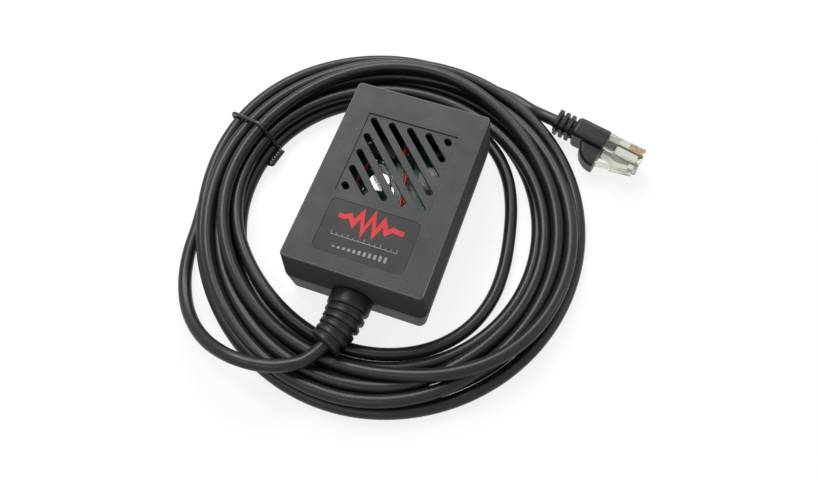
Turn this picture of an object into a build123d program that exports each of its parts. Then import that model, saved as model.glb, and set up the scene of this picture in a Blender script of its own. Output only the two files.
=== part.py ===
import os
from math import atan, cos, degrees, pi, radians, sin, sqrt, tan

from build123d import *

os.makedirs("parts", exist_ok=True)

# A wired vibration sensor, in millimetres: a two-part moulded case with a slotted cover, and its
# cable lying round it in a loose coil that ends in a modular plug.
# The origin is the middle of the case's underside, +Z is up and the cable leaves towards -Y.

# Case
top_width = 50.0
top_length = 73.0
cover_height = 15.5
base_height = 11.5
cover_lean = 1.0
base_lean = 1.2
seam_ledge = 0.3
seam_bevel = 0.4
corner_radius = 2.5
inner_corner_least = 0.4
wall = 2.0
roof = 2.0
floor = 2.0
top_edge_round = 0.8
bottom_edge_round = 1.2
lip_thickness = 0.9
lip_height = 1.6
lip_clearance = 0.15

# Slotted panel and label place on the cover
slot_field = 30.0
slot_step = 6.9
slot_width = 2.4
panel_margin = 1.6
panel_depth = 0.4
panel_from_back = 11.6
label_width = 32.0
label_length = 19.6
label_corner = 2.0
label_thickness = 0.4
label_recess = 0.5
label_clearance = 0.1
label_from_front = 5.8

# Case screws, driven up from below into the cover's bosses
boss_inset = 6.0
cover_boss_diameter = 6.0
base_boss_diameter = 8.6
screw_diameter = 2.9
screw_length = 16.0
screw_head_diameter = 5.4
screw_head_height = 2.4
screw_pocket_diameter = 6.0
screw_pocket_depth = 3.4
screw_hole_diameter = 3.2
screw_tip_room = 0.6
head_round = 0.6
cross_length = 3.2
cross_width = 0.8
cross_depth = 1.2

# Circuit board on four posts, from the room kept for the cable's cores to the back bosses
board_width = 42.0
board_front_room = 18.0
board_boss_room = 0.7
board_thickness = 1.6
board_corner = 1.5
board_seat = 9.0
post_inset = 3.5
post_diameter = 5.0
board_hole_diameter = 2.6
board_screw_diameter = 2.2
board_screw_length = 6.0
board_screw_head_diameter = 4.4
board_screw_head_height = 1.7

# Parts on the board, placed by their middles: across the case, and along it from the board's back
# edge, or from its middle (switch and side resistor), or from its front edge (front resistors)
can_diameter = 8.0
can_height = 9.5
can_rim_diameter = 9.2
can_rim_height = 0.8
can_round = 0.7
can_place = (-5.0, -1.5)
capacitor_diameter = 6.3
capacitor_height = 8.5
capacitor_groove = 0.4
capacitor_place = (9.5, -4.1)
chip_length = 9.4
chip_width = 6.4
chip_height = 3.2
chip_standoff = 0.6
chip_place = (-9.5, -6.5)
leg_pitch = 2.54
leg_count = 3
leg_width = 1.2
leg_thickness = 0.4
leg_span = 8.0
resistor_diameter = 2.3
resistor_length = 6.3
resistor_waist = 1.9
resistor_lead = 0.6
resistor_lead_run = 1.4
side_resistor_place = (-17.0, -1.5)
front_resistor_places = ((8.5, 8.5), (8.5, 4.5))
glue_radius = 5.4
glue_height = 8.0
glue_round = 4.6
glue_place = (11.4, -14.5)

# Moulded strain relief on the cable
cable_diameter = 4.7
boot_flange_diameter = 14.0
boot_flange_thickness = 1.6
boot_flange_clearance = 0.1
boot_neck_diameter = 11.0
boot_neck_clearance = 0.1
boot_collar_diameter = 15.0
boot_collar_length = 5.0
boot_collar_round = 0.9
boot_tip_diameter = 11.8
boot_bend = 22.0
rib_count = 5
rib_pitch = 2.75
rib_groove = 1.1
rib_groove_depth = 1.1
rib_round = 0.4
radius_match = 0.004
tail_inside = 6.5
core_wire_diameter = 1.3
core_wire_spread = 0.9
core_wire_stub = 3.0
core_wire_bend = 2.0

# Cores inside the case: each joint's place, red from the board's back edge and the others from its
# front edge, with the height at which the core turns down to it, and points on the way there: place
# across the case, share of the way to the joint, and height.
first_red_joint = (-2.0, -4.0, 16.5)
first_red_route = ((3.0, 0.10, 15.5), (5.6, 0.36, 19.2), (3.4, 0.66, 20.2), (-1.0, 0.88, 18.5))
second_red_joint = (-12.5, -14.0, 15.5)
second_red_route = ((-4.0, 0.10, 15.0), (-11.5, 0.40, 17.5), (-13.5, 0.74, 18.0))
orange_joint = (6.0, 21.0, 14.5)
orange_route = ((4.2, 0.13, 12.6), (2.6, 0.50, 15.8), (4.8, 0.84, 16.4))
black_joint = (-8.0, 9.0, 14.0)
black_route = ((-3.0, 0.24, 12.4), (-5.5, 0.64, 14.5))

# Coil of cable on the floor round the case. The two free ends are given by points of their middle
# lines: place in X and Y, and rise above the height at which the cable lies on the floor.
coil_centre = (-1.8, -2.1)
coil_inner_radius = 49.5
coil_outer_radius = 72.8
coil_foot_height = 3.0
coil_height = 9.8
cable_seat = 0.15
ribs_over_coil = 3
bend_share = 0.45
lead_in_run = 7.0
lead_in_route = (
    (-12.0, -67.6, 10.15),
    (-20.8, -70.3, 10.15),
    (-31.5, -70.6, 9.95),
    (-43.5, -67.2, 6.25),
    (-54.5, -59.3, 2.05),
    (-62.0, -48.3, 0.15),
    (-65.6, -37.0, 0.05),
    (-66.9, -27.5, 0.05),
)
lead_out_run = 8.6
lead_out_route = ((17.4, 65.6, 2.05), (27.5, 63.4, 2.85))
tie_angle = 163.5
tie_width = 1.8
tie_thickness = 1.5
tie_tail_diameter = 2.2
tie_tail_length = 7.0

# Plug at the cable's far end, on its narrow side with its latch towards -Y, and leaning on the boot's hood
plug_nose = (80.5, 48.3)
plug_heading = -13.5
plug_roll = 12.0
plug_length = 21.5
plug_width = 11.68
plug_thickness = 6.6
plug_edge = 0.4
contact_count = 8
contact_pitch = 1.02
contact_thickness = 0.35
contact_length = 5.6
contact_from_nose = 0.6
contact_recess = 0.4
lead_wire_diameter = 0.95
lead_wire_level = -0.6
lead_wire_from_nose = 1.6
crimp_from_nose = 12.2
crimp_length = 2.6
crimp_width = 7.4
crimp_depth = 0.6
sheath_from_nose = 10.0
sheath_pocket_width = 8.6
sheath_pocket_height = 4.8
latch_root = 1.0
latch_root_length = 2.2
latch_length = 15.0
latch_thickness = 1.1
latch_lift = 4.5
latch_shoulder = 8.6
latch_front_width = 6.2
latch_tail_width = 3.3
latch_gap = 0.8
plug_boot_from_nose = 14.5
plug_boot_wall = 0.65
plug_boot_body = 12.9
plug_boot_round = 2.0
plug_boot_end_round = 1.6
plug_boot_fit = 0.05
plug_boot_core_diameter = 7.0
plug_flange_count = 3
plug_flange_pitch = 2.5
plug_flange_thickness = 1.3
plug_flange_width = 11.0
plug_flange_height = 7.6
plug_flange_round = 2.2
hump_length = 8.4
hump_rise = 6.0
hump_width = 8.8
hump_nose_height = 7.0
hump_crown_back = 4.4
hump_round = 1.5
latch_room = 0.4

# Sizes that follow from those
housing_height = base_height + cover_height
seam_width = top_width + 2 * cover_lean
seam_length = top_length + 2 * cover_lean
rim_width = seam_width + 2 * seam_ledge
rim_length = seam_length + 2 * seam_ledge
foot_width = rim_width - 2 * base_lean
foot_length = rim_length - 2 * base_lean
cover_taper = degrees(atan(cover_lean / cover_height))
base_taper = degrees(atan(base_lean / base_height))
cavity_width = seam_width - 2 * wall
cavity_length = seam_length - 2 * wall
cavity_corner = max(corner_radius - wall, inner_corner_least)
floor_inset = wall + seam_ledge + base_lean * (1 - floor / base_height)
lip_outer_width = cavity_width + 2 * lip_thickness
lip_outer_length = cavity_length + 2 * lip_thickness
boss_x = seam_width / 2 - boss_inset
boss_y = seam_length / 2 - boss_inset
board_back_y = boss_y - base_boss_diameter / 2 - board_boss_room
board_front_y = board_front_room - cavity_length / 2
board_length = board_back_y - board_front_y
board_centre_y = (board_front_y + board_back_y) / 2
post_x = board_width / 2 - post_inset
post_y = board_length / 2 - post_inset
board_top = board_seat + board_thickness
panel_size = slot_field + 2 * panel_margin
panel_y = top_length / 2 - panel_from_back - panel_size / 2
label_y = label_from_front + label_length / 2 - top_length / 2
cable_radius = cable_diameter / 2
cable_level = base_height
boot_face_y = -rim_length / 2
boot_flange_lean = max(base_lean / base_height, cover_lean / cover_height) * boot_flange_diameter / 2
boot_flange_y = -cavity_length / 2 + boot_flange_lean + boot_flange_clearance
boot_ribs_y = boot_face_y - boot_collar_length
boot_ribs_length = rib_count * rib_pitch
boot_bend_radius = boot_ribs_length / radians(boot_bend)
tail_end_y = boot_flange_y + boot_flange_thickness + tail_inside


def boot_plane(along):
    """Plane across the ribbed part of the strain relief, a given way along its bent middle line."""
    turned = along / boot_bend_radius
    middle = (
        boot_bend_radius * (cos(turned) - 1),
        boot_ribs_y - boot_bend_radius * sin(turned),
        cable_level,
    )
    return Plane(origin=middle, x_dir=(0, 0, 1), z_dir=(-sin(turned), -cos(turned), 0))


def boot_radius(along):
    """Outer radius of the ribs, which shrink evenly from the collar to the tip."""
    share = along / boot_ribs_length
    return (boot_collar_diameter + share * (boot_tip_diameter - boot_collar_diameter)) / 2


def bend_radii(points):
    """The largest arcs that the runs on each side of a route's corners leave room for."""
    radii = []
    for before, corner, after in zip(points, points[1:], points[2:]):
        run_in = Vector(*corner) - Vector(*before)
        run_out = Vector(*after) - Vector(*corner)
        half_turn = radians(run_in.get_angle(run_out)) / 2
        radii.append(bend_share * min(run_in.length, run_out.length) / tan(half_turn))
    return radii


# Slotted cover: a moulded shell whose walls lean out to the seam, with a sunk panel of diagonal
# slots, a sunk label place, four screw bosses and half of the hole for the strain relief.
with BuildPart() as top_cover:
    with BuildSketch(Plane.XY.offset(base_height)):
        RectangleRounded(seam_width, seam_length, corner_radius)
    extrude(amount=cover_height, taper=cover_taper)
    fillet(top_cover.faces().sort_by(Axis.Z)[-1].edges(), top_edge_round)
    chamfer(top_cover.faces().sort_by(Axis.Z)[0].edges(), seam_bevel)
    with BuildSketch(Plane.XY.offset(base_height)):
        RectangleRounded(cavity_width, cavity_length, cavity_corner)
    extrude(amount=cover_height - roof, taper=cover_taper, mode=Mode.SUBTRACT)
    with BuildSketch(Plane.XY.offset(base_height)):
        RectangleRounded(
            lip_outer_width + 2 * lip_clearance,
            lip_outer_length + 2 * lip_clearance,
            cavity_corner + lip_thickness + lip_clearance,
        )
    extrude(amount=lip_height + lip_clearance, mode=Mode.SUBTRACT)
    with BuildSketch(Plane.XY.offset(base_height)):
        with GridLocations(2 * boss_x, 2 * boss_y, 2, 2):
            Circle(cover_boss_diameter / 2)
    extrude(amount=cover_height - roof / 2)
    with BuildSketch(Plane.XY.offset(base_height)):
        with GridLocations(2 * boss_x, 2 * boss_y, 2, 2):
            Circle(screw_diameter / 2)
    pilot_depth = screw_length + screw_pocket_depth + screw_tip_room - base_height
    extrude(amount=pilot_depth, mode=Mode.SUBTRACT)
    with BuildSketch(Plane.XY.offset(housing_height)):
        with Locations((0, panel_y)):
            Rectangle(panel_size, panel_size)
    extrude(amount=-panel_depth, mode=Mode.SUBTRACT)
    with BuildSketch(Plane.XY.offset(housing_height)):
        slots_each_side = int((slot_field - slot_width / sqrt(2)) / slot_step)
        for number in range(-slots_each_side, slots_each_side + 1):
            shift = number * slot_step / 2
            reach = sqrt(2) * (slot_field - abs(number) * slot_step)
            with Locations((shift, panel_y + shift)):
                SlotOverall(reach, slot_width, rotation=-45)
    extrude(amount=-2 * roof, mode=Mode.SUBTRACT)
    with BuildSketch(Plane.XY.offset(housing_height)):
        with Locations((0, label_y)):
            RectangleRounded(
                label_width + 2 * label_clearance,
                label_length + 2 * label_clearance,
                label_corner + label_clearance,
            )
    extrude(amount=-label_recess, mode=Mode.SUBTRACT)
    with BuildSketch(Plane.XZ.offset(-boot_flange_y)):
        with Locations((0, cable_level)):
            Circle(boot_neck_diameter / 2 + boot_neck_clearance)
    extrude(amount=boot_flange_y - boot_face_y, mode=Mode.SUBTRACT)
top_cover.part.label = "top_cover"
export_step(top_cover.part, "parts/top_cover.step")

# Base: a moulded tray whose walls lean in to the foot, with a lip that fits inside the cover,
# bosses for the case screws and posts for the board.
with BuildPart() as base_shell:
    with BuildSketch():
        RectangleRounded(foot_width, foot_length, corner_radius)
    extrude(amount=base_height, taper=-base_taper)
    fillet(base_shell.faces().sort_by(Axis.Z)[0].edges(), bottom_edge_round)
    chamfer(base_shell.faces().sort_by(Axis.Z)[-1].edges(), seam_bevel)
    with BuildSketch(Plane.XY.offset(floor)):
        RectangleRounded(rim_width - 2 * floor_inset, rim_length - 2 * floor_inset, cavity_corner)
    extrude(amount=base_height - floor, taper=-base_taper, mode=Mode.SUBTRACT)
    with BuildSketch(Plane.XY.offset(base_height - lip_height)):
        RectangleRounded(lip_outer_width, lip_outer_length, cavity_corner + lip_thickness)
        RectangleRounded(cavity_width, cavity_length, cavity_corner, mode=Mode.SUBTRACT)
    extrude(amount=2 * lip_height)
    with BuildSketch():
        with GridLocations(2 * boss_x, 2 * boss_y, 2, 2):
            Circle(base_boss_diameter / 2)
    extrude(amount=base_height)
    with BuildSketch(Plane.XY.offset(floor / 2)):
        with Locations((0, board_centre_y)):
            with GridLocations(2 * post_x, 2 * post_y, 2, 2):
                Circle(post_diameter / 2)
    extrude(amount=board_seat - floor / 2)
    with BuildSketch():
        with GridLocations(2 * boss_x, 2 * boss_y, 2, 2):
            Circle(screw_hole_diameter / 2)
    extrude(amount=base_height, mode=Mode.SUBTRACT)
    with BuildSketch():
        with GridLocations(2 * boss_x, 2 * boss_y, 2, 2):
            Circle(screw_pocket_diameter / 2)
    extrude(amount=screw_pocket_depth, mode=Mode.SUBTRACT)
    with BuildSketch(Plane.XY.offset(board_seat)):
        with Locations((0, board_centre_y)):
            with GridLocations(2 * post_x, 2 * post_y, 2, 2):
                Circle(board_screw_diameter / 2)
    extrude(amount=board_thickness - board_screw_length, mode=Mode.SUBTRACT)
    with BuildSketch(Plane.XZ.offset(-boot_flange_y)):
        with Locations((0, cable_level)):
            Circle(boot_neck_diameter / 2 + boot_neck_clearance)
    extrude(amount=boot_flange_y - boot_face_y, mode=Mode.SUBTRACT)
base_shell.part.label = "base_shell"
export_step(base_shell.part, "parts/base_shell.step")

# Four pan-head screws that clamp the base to the cover, heads sunk in the underside.
with BuildPart() as cover_screws:
    with BuildSketch(Plane.XY.offset(screw_pocket_depth)):
        with GridLocations(2 * boss_x, 2 * boss_y, 2, 2):
            Circle(screw_head_diameter / 2)
    extrude(amount=-screw_head_height)
    fillet(cover_screws.edges().group_by(Axis.Z)[0], head_round)
    with BuildSketch(Plane.XY.offset(screw_pocket_depth)):
        with GridLocations(2 * boss_x, 2 * boss_y, 2, 2):
            Circle(screw_diameter / 2)
    extrude(amount=screw_length)
    with BuildSketch(Plane.XY.offset(screw_pocket_depth - screw_head_height)):
        with GridLocations(2 * boss_x, 2 * boss_y, 2, 2):
            Rectangle(cross_length, cross_width)
            Rectangle(cross_width, cross_length)
    extrude(amount=cross_depth, mode=Mode.SUBTRACT)
cover_screws.part.label = "cover_screws"
export_step(cover_screws.part, "parts/cover_screws.step")

# Thin printed film that lies in the cover's sunk label place.
with BuildPart() as label_plate:
    with BuildSketch(Plane.XY.offset(housing_height - label_recess)):
        with Locations((0, label_y)):
            RectangleRounded(label_width, label_length, label_corner)
    extrude(amount=label_thickness)
label_plate.part.label = "label_plate"
export_step(label_plate.part, "parts/label_plate.step")

# Middle line of the cable from inside the case to the tip of the strain relief.
with BuildLine(Plane.XY.offset(cable_level)) as tail_line:
    straight = Line((0, tail_end_y), (0, boot_ribs_y))
    JernArc(straight @ 1, straight % 1, boot_bend_radius, -boot_bend)

# Strain relief: one rubber moulding with a flange inside the wall, a neck through it, a smooth
# collar and five ribs that shrink to the tip, bent a little to the side by the cable.
with BuildPart() as cable_boot:
    with BuildSketch(Plane.XZ.offset(-boot_flange_y - boot_flange_thickness)):
        with Locations((0, cable_level)):
            Circle(boot_flange_diameter / 2)
    extrude(amount=boot_flange_thickness)
    with BuildSketch(Plane.XZ.offset(-boot_flange_y)):
        with Locations((0, cable_level)):
            Circle(boot_neck_diameter / 2)
    extrude(amount=boot_flange_y - boot_face_y)
    with BuildSketch(Plane.XZ.offset(-boot_face_y)):
        with Locations((0, cable_level)):
            Circle(boot_collar_diameter / 2)
    extrude(amount=boot_collar_length)
    fillet(cable_boot.edges().sort_by(Axis.Y)[0], boot_collar_round)
    for section in range(rib_count + 1):
        with BuildSketch(boot_plane(section * rib_pitch)):
            Circle(boot_radius(section * rib_pitch) - rib_groove_depth)
    loft()
    for number in range(rib_count):
        rib_end = (number + 1) * rib_pitch
        with BuildSketch(boot_plane(rib_end)):
            Circle(boot_radius(rib_end))
        extrude(amount=rib_groove - rib_pitch)
        circles = cable_boot.edges().filter_by(GeomType.CIRCLE)
        rims = circles.filter_by(lambda rim: abs(rim.radius - boot_radius(rib_end)) < radius_match)
        fillet(rims, rib_round)
    with BuildSketch(Plane.XZ.offset(-tail_end_y)):
        with Locations((0, cable_level)):
            Circle(cable_radius)
    sweep(path=tail_line.line, mode=Mode.SUBTRACT)
cable_boot.part.label = "cable_boot"
export_step(cable_boot.part, "parts/cable_boot.step")

# The cable's jacket where the strain relief grips it and where it ends inside the case.
with BuildPart() as cable_tail:
    with BuildSketch(Plane.XZ.offset(-tail_end_y)):
        with Locations((0, cable_level)):
            Circle(cable_radius)
    sweep(path=tail_line.line)
cable_tail.part.label = "cable_tail"
export_step(cable_tail.part, "parts/cable_tail.step")

# Circuit board, screwed to the four posts.
with BuildPart() as circuit_board:
    with BuildSketch(Plane.XY.offset(board_seat)):
        with Locations((0, board_centre_y)):
            RectangleRounded(board_width, board_length, board_corner)
            with GridLocations(2 * post_x, 2 * post_y, 2, 2):
                Circle(board_hole_diameter / 2, mode=Mode.SUBTRACT)
    extrude(amount=board_thickness)
circuit_board.part.label = "circuit_board"
export_step(circuit_board.part, "parts/circuit_board.step")

# Four small screws that hold the board.
with BuildPart() as board_screws:
    with BuildSketch(Plane.XY.offset(board_top)):
        with Locations((0, board_centre_y)):
            with GridLocations(2 * post_x, 2 * post_y, 2, 2):
                Circle(board_screw_head_diameter / 2)
    extrude(amount=board_screw_head_height)
    fillet(board_screws.edges().group_by(Axis.Z)[-1], head_round)
    with BuildSketch(Plane.XY.offset(board_top)):
        with Locations((0, board_centre_y)):
            with GridLocations(2 * post_x, 2 * post_y, 2, 2):
                Circle(board_screw_diameter / 2)
    extrude(amount=-board_screw_length)
board_screws.part.label = "board_screws"
export_step(board_screws.part, "parts/board_screws.step")

# Sealed vibration switch: a drawn metal can on a rimmed header.
with BuildPart() as vibration_switch:
    with BuildSketch(Plane.XY.offset(board_top)):
        with Locations((can_place[0], board_centre_y + can_place[1])):
            Circle(can_rim_diameter / 2)
    extrude(amount=can_rim_height)
    with BuildSketch(Plane.XY.offset(board_top)):
        with Locations((can_place[0], board_centre_y + can_place[1])):
            Circle(can_diameter / 2)
    extrude(amount=can_height)
    fillet(vibration_switch.edges().group_by(Axis.Z)[-1], can_round)
vibration_switch.part.label = "vibration_switch"
export_step(vibration_switch.part, "parts/vibration_switch.step")

# Electrolytic capacitor in its sleeve, with the rolled groove near its foot.
with BuildPart() as filter_capacitor:
    with BuildSketch(Plane.XY.offset(board_top)):
        with Locations((capacitor_place[0], board_back_y + capacitor_place[1])):
            Circle(capacitor_diameter / 2)
    extrude(amount=capacitor_height)
    fillet(filter_capacitor.edges().group_by(Axis.Z)[-1], capacitor_groove)
    with BuildSketch(Plane.XY.offset(board_top + 2 * capacitor_groove)):
        with Locations((capacitor_place[0], board_back_y + capacitor_place[1])):
            Circle(capacitor_diameter / 2)
            Circle(capacitor_diameter / 2 - capacitor_groove, mode=Mode.SUBTRACT)
    extrude(amount=2 * capacitor_groove, mode=Mode.SUBTRACT)
filter_capacitor.part.label = "filter_capacitor"
export_step(filter_capacitor.part, "parts/filter_capacitor.step")

# Comparator chip in a moulded package, standing on two rows of bent legs.
with BuildPart() as logic_chip:
    with BuildSketch(Plane.XY.offset(board_top + chip_standoff)):
        with Locations((chip_place[0], board_back_y + chip_place[1])):
            Rectangle(chip_length, chip_width)
    extrude(amount=chip_height)
    with BuildSketch(Plane.XY.offset(board_top)):
        with Locations((chip_place[0], board_back_y + chip_place[1])):
            with GridLocations(leg_pitch, leg_span - leg_thickness, leg_count, 2):
                Rectangle(leg_width, leg_thickness)
    extrude(amount=chip_standoff + chip_height / 2)
    with BuildSketch(Plane.XY.offset(board_top + chip_standoff + chip_height / 2)):
        with Locations((chip_place[0], board_back_y + chip_place[1])):
            with GridLocations(leg_pitch, 0, leg_count, 1):
                Rectangle(leg_width, leg_span)
    extrude(amount=-leg_thickness)
logic_chip.part.label = "logic_chip"
export_step(logic_chip.part, "parts/logic_chip.step")

# Three axial resistors, each a waisted body on a lead that bends down to the board at both ends.
resistor_level = board_top + resistor_diameter / 2
resistor_bulge = (resistor_length - 2 * resistor_waist) / 2
lead_x = resistor_length / 2 + resistor_lead_run
resistor_places = [(side_resistor_place[0], board_centre_y + side_resistor_place[1])]
resistor_places += [(place_x, board_front_y + from_front) for place_x, from_front in front_resistor_places]
with BuildPart() as resistors:
    for centre_x, centre_y in resistor_places:
        with BuildLine() as lead:
            FilletPolyline(
                (centre_x - lead_x, centre_y, board_top),
                (centre_x - lead_x, centre_y, resistor_level),
                (centre_x + lead_x, centre_y, resistor_level),
                (centre_x + lead_x, centre_y, board_top),
                radius=resistor_lead,
            )
        with BuildSketch(Plane.XY.offset(board_top)):
            with Locations((centre_x - lead_x, centre_y)):
                Circle(resistor_lead / 2)
        sweep(path=lead.line)
        with BuildSketch(Plane(origin=(centre_x, centre_y, resistor_level), z_dir=(1, 0, 0))):
            Circle(resistor_waist / 2)
        extrude(amount=resistor_length / 2, both=True)
        for side in (-1, 1):
            cap_x = centre_x + side * resistor_length / 2
            with BuildSketch(Plane(origin=(cap_x, centre_y, resistor_level), z_dir=(-side, 0, 0))):
                Circle(resistor_diameter / 2)
            extrude(amount=resistor_bulge)
resistors.part.label = "resistors"
export_step(resistors.part, "parts/resistors.step")

# Bead of hot-melt glue that keeps the soldered joints still.
with BuildPart() as glue_bead:
    with BuildSketch(Plane.XY.offset(board_top)):
        with Locations((glue_place[0], board_back_y + glue_place[1])):
            Circle(glue_radius)
    extrude(amount=glue_height)
    fillet(glue_bead.edges().group_by(Axis.Z)[-1], glue_round)
glue_bead.part.label = "glue_bead"
export_step(glue_bead.part, "parts/glue_bead.step")


def core_path(across, above, route, joint, edge_y):
    """Middle line of one core, from the end of the jacket over the board and down to its joint."""
    start = (across, tail_end_y, cable_level + above)
    stub_y = tail_end_y + core_wire_stub
    stub = (across, stub_y, cable_level + above)
    joint_x, from_edge, turn_level = joint
    joint_y = edge_y + from_edge
    way = [(place_x, stub_y + share * (joint_y - stub_y), height) for place_x, share, height in route]
    way += [(joint_x, joint_y, turn_level), (joint_x, joint_y, board_top)]
    with BuildLine() as middle:
        FilletPolyline(start, stub, *way, radius=core_wire_bend)
    return middle.line


# Two red cores of the cable, soldered to the board.
red_paths = (
    core_path(core_wire_spread, core_wire_spread, first_red_route, first_red_joint, board_back_y),
    core_path(-core_wire_spread, core_wire_spread, second_red_route, second_red_joint, board_back_y),
)
with BuildPart() as red_wires:
    for path in red_paths:
        with BuildSketch(Plane(origin=path @ 0, z_dir=path % 0)):
            Circle(core_wire_diameter / 2)
        sweep(path=path)
red_wires.part.label = "red_wires"
export_step(red_wires.part, "parts/red_wires.step")

# The orange core.
orange_path = core_path(core_wire_spread, -core_wire_spread, orange_route, orange_joint, board_front_y)
with BuildPart() as orange_wire:
    with BuildSketch(Plane(origin=orange_path @ 0, z_dir=orange_path % 0)):
        Circle(core_wire_diameter / 2)
    sweep(path=orange_path)
orange_wire.part.label = "orange_wire"
export_step(orange_wire.part, "parts/orange_wire.step")

# The black core.
black_path = core_path(-core_wire_spread, -core_wire_spread, black_route, black_joint, board_front_y)
with BuildPart() as black_wire:
    with BuildSketch(Plane(origin=black_path @ 0, z_dir=black_path % 0)):
        Circle(core_wire_diameter / 2)
    sweep(path=black_path)
black_wire.part.label = "black_wire"
export_step(black_wire.part, "parts/black_wire.step")

# Cable from the strain relief, over the front of the coil, down outside it and in under its
# left side. The first run goes straight on from the strain relief's tip.
tip = tail_line.line @ 1
tip_way = tail_line.line % 1
first_corner = tip + tip_way * lead_in_run
lead_in_points = [(tip.X, tip.Y, tip.Z), (first_corner.X, first_corner.Y, first_corner.Z)]
lead_in_points += [(place_x, place_y, cable_radius + rise) for place_x, place_y, rise in lead_in_route]
with BuildLine() as lead_in_line:
    FilletPolyline(*lead_in_points, radius=bend_radii(lead_in_points))
with BuildPart() as cable_lead_in:
    with BuildSketch(Plane(origin=lead_in_line.line @ 0, z_dir=lead_in_line.line % 0)):
        Circle(cable_radius)
    sweep(path=lead_in_line.line)
cable_lead_in.part.label = "cable_lead_in"
export_step(cable_lead_in.part, "parts/cable_lead_in.step")

# Planes of the plug: across its axis, flat on its latch face, and through its middle.
plug_boot_width = plug_width + 2 * plug_boot_wall
plug_boot_height = plug_thickness + 2 * plug_boot_wall
lean = sin(radians(plug_roll))
stand = cos(radians(plug_roll))
corner_out = plug_boot_height / 2 - plug_boot_round
corner_down = plug_boot_width / 2 - plug_boot_round
plug_level = corner_out * lean + corner_down * stand + plug_boot_round
plug_way = Vector(cos(radians(plug_heading)), sin(radians(plug_heading)), 0)
level_way = Vector(plug_way.Y, -plug_way.X, 0)
latch_way = level_way * stand - Vector(0, 0, lean)
side_way = level_way * lean + Vector(0, 0, stand)
nose = Vector(*plug_nose, plug_level)
plug_flat = Plane(origin=nose, x_dir=plug_way, z_dir=latch_way)
plug_middle = Plane(origin=nose, x_dir=plug_way, z_dir=side_way * -1)
plug_flanges_length = plug_flange_count * plug_flange_pitch
plug_total = plug_boot_from_nose + plug_boot_body + plug_flanges_length


def plug_across(from_nose):
    """Plane across the plug at a given distance behind its nose, facing backwards."""
    return Plane(origin=nose - plug_way * from_nose, x_dir=side_way, z_dir=plug_way * -1)


# Cable from the back of the coil to the plug's boot.
boot_end = nose - plug_way * plug_total
last_corner = boot_end - plug_way * lead_out_run
lead_out_points = [(place_x, place_y, cable_radius + rise) for place_x, place_y, rise in lead_out_route]
lead_out_points += [(last_corner.X, last_corner.Y, plug_level), (boot_end.X, boot_end.Y, plug_level)]
with BuildLine() as lead_out_line:
    FilletPolyline(*lead_out_points, radius=bend_radii(lead_out_points))
with BuildPart() as cable_lead_out:
    with BuildSketch(Plane(origin=lead_out_line.line @ 0, z_dir=lead_out_line.line % 0)):
        Circle(cable_radius)
    sweep(path=lead_out_line.line)
cable_lead_out.part.label = "cable_lead_out"
export_step(cable_lead_out.part, "parts/cable_lead_out.step")


def bundle_outline(bottom):
    """Section of the wound bundle: upright feet and a low arch, from a given bottom level."""
    with BuildLine() as outline:
        Polyline(
            (coil_outer_radius, coil_foot_height),
            (coil_outer_radius, bottom),
            (coil_inner_radius, bottom),
            (coil_inner_radius, coil_foot_height),
        )
        ThreePointArc(
            (coil_inner_radius, coil_foot_height),
            ((coil_inner_radius + coil_outer_radius) / 2, coil_height),
            (coil_outer_radius, coil_foot_height),
        )
    return outline.line


def radial_plane(angle):
    """Upright plane through the coil's middle, with distance from the middle along X."""
    outwards = (cos(radians(angle)), sin(radians(angle)), 0)
    sideways = (sin(radians(angle)), -cos(radians(angle)), 0)
    return Plane(origin=(*coil_centre, 0), x_dir=outwards, z_dir=sideways)


# The wound coil as one ring, with seats where the two ends of the cable run into it, a hollow
# under the strain relief's tip and a groove for the tie under it.
over_coil = ribs_over_coil * rib_pitch
tie_plane = radial_plane(tie_angle)
tie_tail_sag = (tie_tail_length + tie_width) ** 2 / (2 * coil_inner_radius)
tie_tail_radius = coil_inner_radius - cable_seat - tie_tail_sag - tie_tail_diameter / 2
with BuildPart() as cable_coil:
    with BuildSketch(radial_plane(0)):
        add(bundle_outline(0))
        make_face()
    revolve(axis=Axis((*coil_centre, 0), (0, 0, 1)))
    with BuildSketch(Plane(origin=lead_in_line.line @ 0, z_dir=lead_in_line.line % 0)):
        Circle(cable_radius + cable_seat)
    sweep(path=lead_in_line.line, mode=Mode.SUBTRACT)
    with BuildSketch(Plane(origin=lead_out_line.line @ 0, z_dir=lead_out_line.line % 0)):
        Circle(cable_radius + cable_seat)
    sweep(path=lead_out_line.line, mode=Mode.SUBTRACT)
    with BuildSketch(boot_plane(boot_ribs_length)):
        Circle(boot_radius(boot_ribs_length - over_coil) + cable_seat)
    extrude(amount=-over_coil, mode=Mode.SUBTRACT)
    with BuildSketch(tie_plane.offset(-tie_width / 2)):
        with Locations(((coil_inner_radius + coil_outer_radius) / 2, 0)):
            Rectangle(coil_outer_radius - coil_inner_radius + 2 * tie_thickness, 2 * tie_thickness)
    extrude(amount=tie_width, mode=Mode.SUBTRACT)
cable_coil.part.label = "cable_coil"
export_step(cable_coil.part, "parts/cable_coil.step")

# Wire tie round the bundle, with its twisted end lying along the inner side.
with BuildPart() as coil_tie:
    with BuildSketch(tie_plane.offset(-tie_width / 2)):
        add(bundle_outline(tie_thickness + cable_seat))
        make_face()
        offset(amount=cable_seat + tie_thickness, kind=Kind.INTERSECTION)
        with BuildLine():
            add(bundle_outline(tie_thickness + cable_seat))
            offset(amount=cable_seat, kind=Kind.INTERSECTION)
        make_face(mode=Mode.SUBTRACT)
    extrude(amount=tie_width)
    with BuildSketch(tie_plane.offset(tie_width / 2)):
        with Locations((tie_tail_radius, coil_foot_height)):
            Circle(tie_tail_diameter / 2)
    extrude(amount=-tie_width - tie_tail_length)
coil_tie.part.label = "coil_tie"
export_step(coil_tie.part, "parts/coil_tie.step")

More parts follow.
